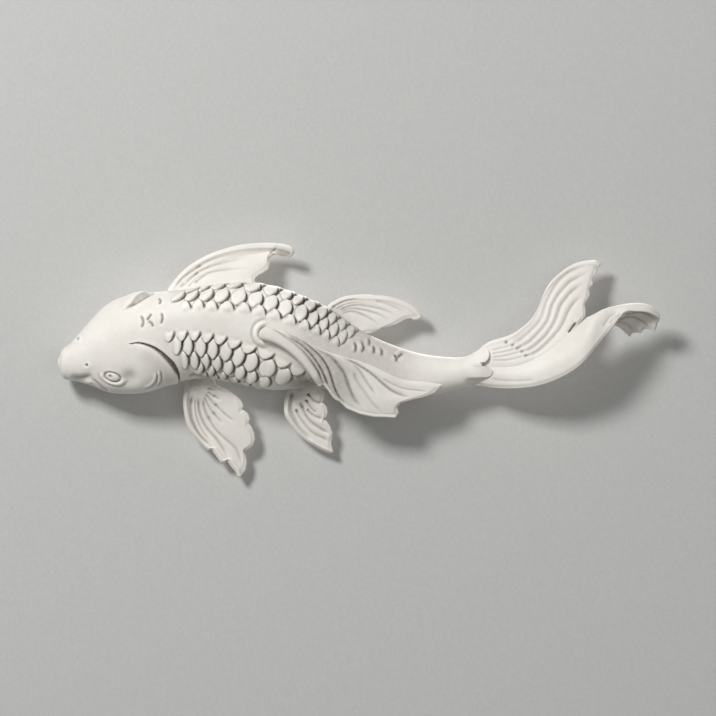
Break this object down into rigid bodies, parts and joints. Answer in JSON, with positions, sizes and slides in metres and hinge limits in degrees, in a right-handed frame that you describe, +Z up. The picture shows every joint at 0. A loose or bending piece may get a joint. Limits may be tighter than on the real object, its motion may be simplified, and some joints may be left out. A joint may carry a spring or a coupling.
{
  "type": "koi fish wall figurine",
  "caption": "Off-white cast koi seen from above, with carved scales and flowing pinned fins, hung on a wall by keyhole plates in its back.",
  "frame": {"origin": "middle between the two keyholes, on the flat back of the hanger plates", "axes": "+X from head to tail, +Y out of the flat back towards the wall, +Z up the wall"},
  "size_m": [0.5987, 0.0805, 0.2314],
  "materials": {
    "casting": "matt off-white with a brown wash left in the grooves",
    "back_board": "smooth hardboard",
    "steel": "zinc plated",
    "pads": "matt"
  },
  "bodies": {
    "root": {"body_shell": "casting", "left_pectoral_fin": "casting", "right_pectoral_fin": "casting", "left_pelvic_fin": "casting", "right_pelvic_fin": "casting", "dorsal_fin": "casting", "tail_fin": "casting", "back_plate": "back_board", "fin_dowels": "steel", "keyhole_hanger_left": "steel", "keyhole_hanger_right": "steel", "hanger_screws": "steel", "back_plate_screws": "steel", "wall_bumpers": "pads"}
  },
  "joints": []
}
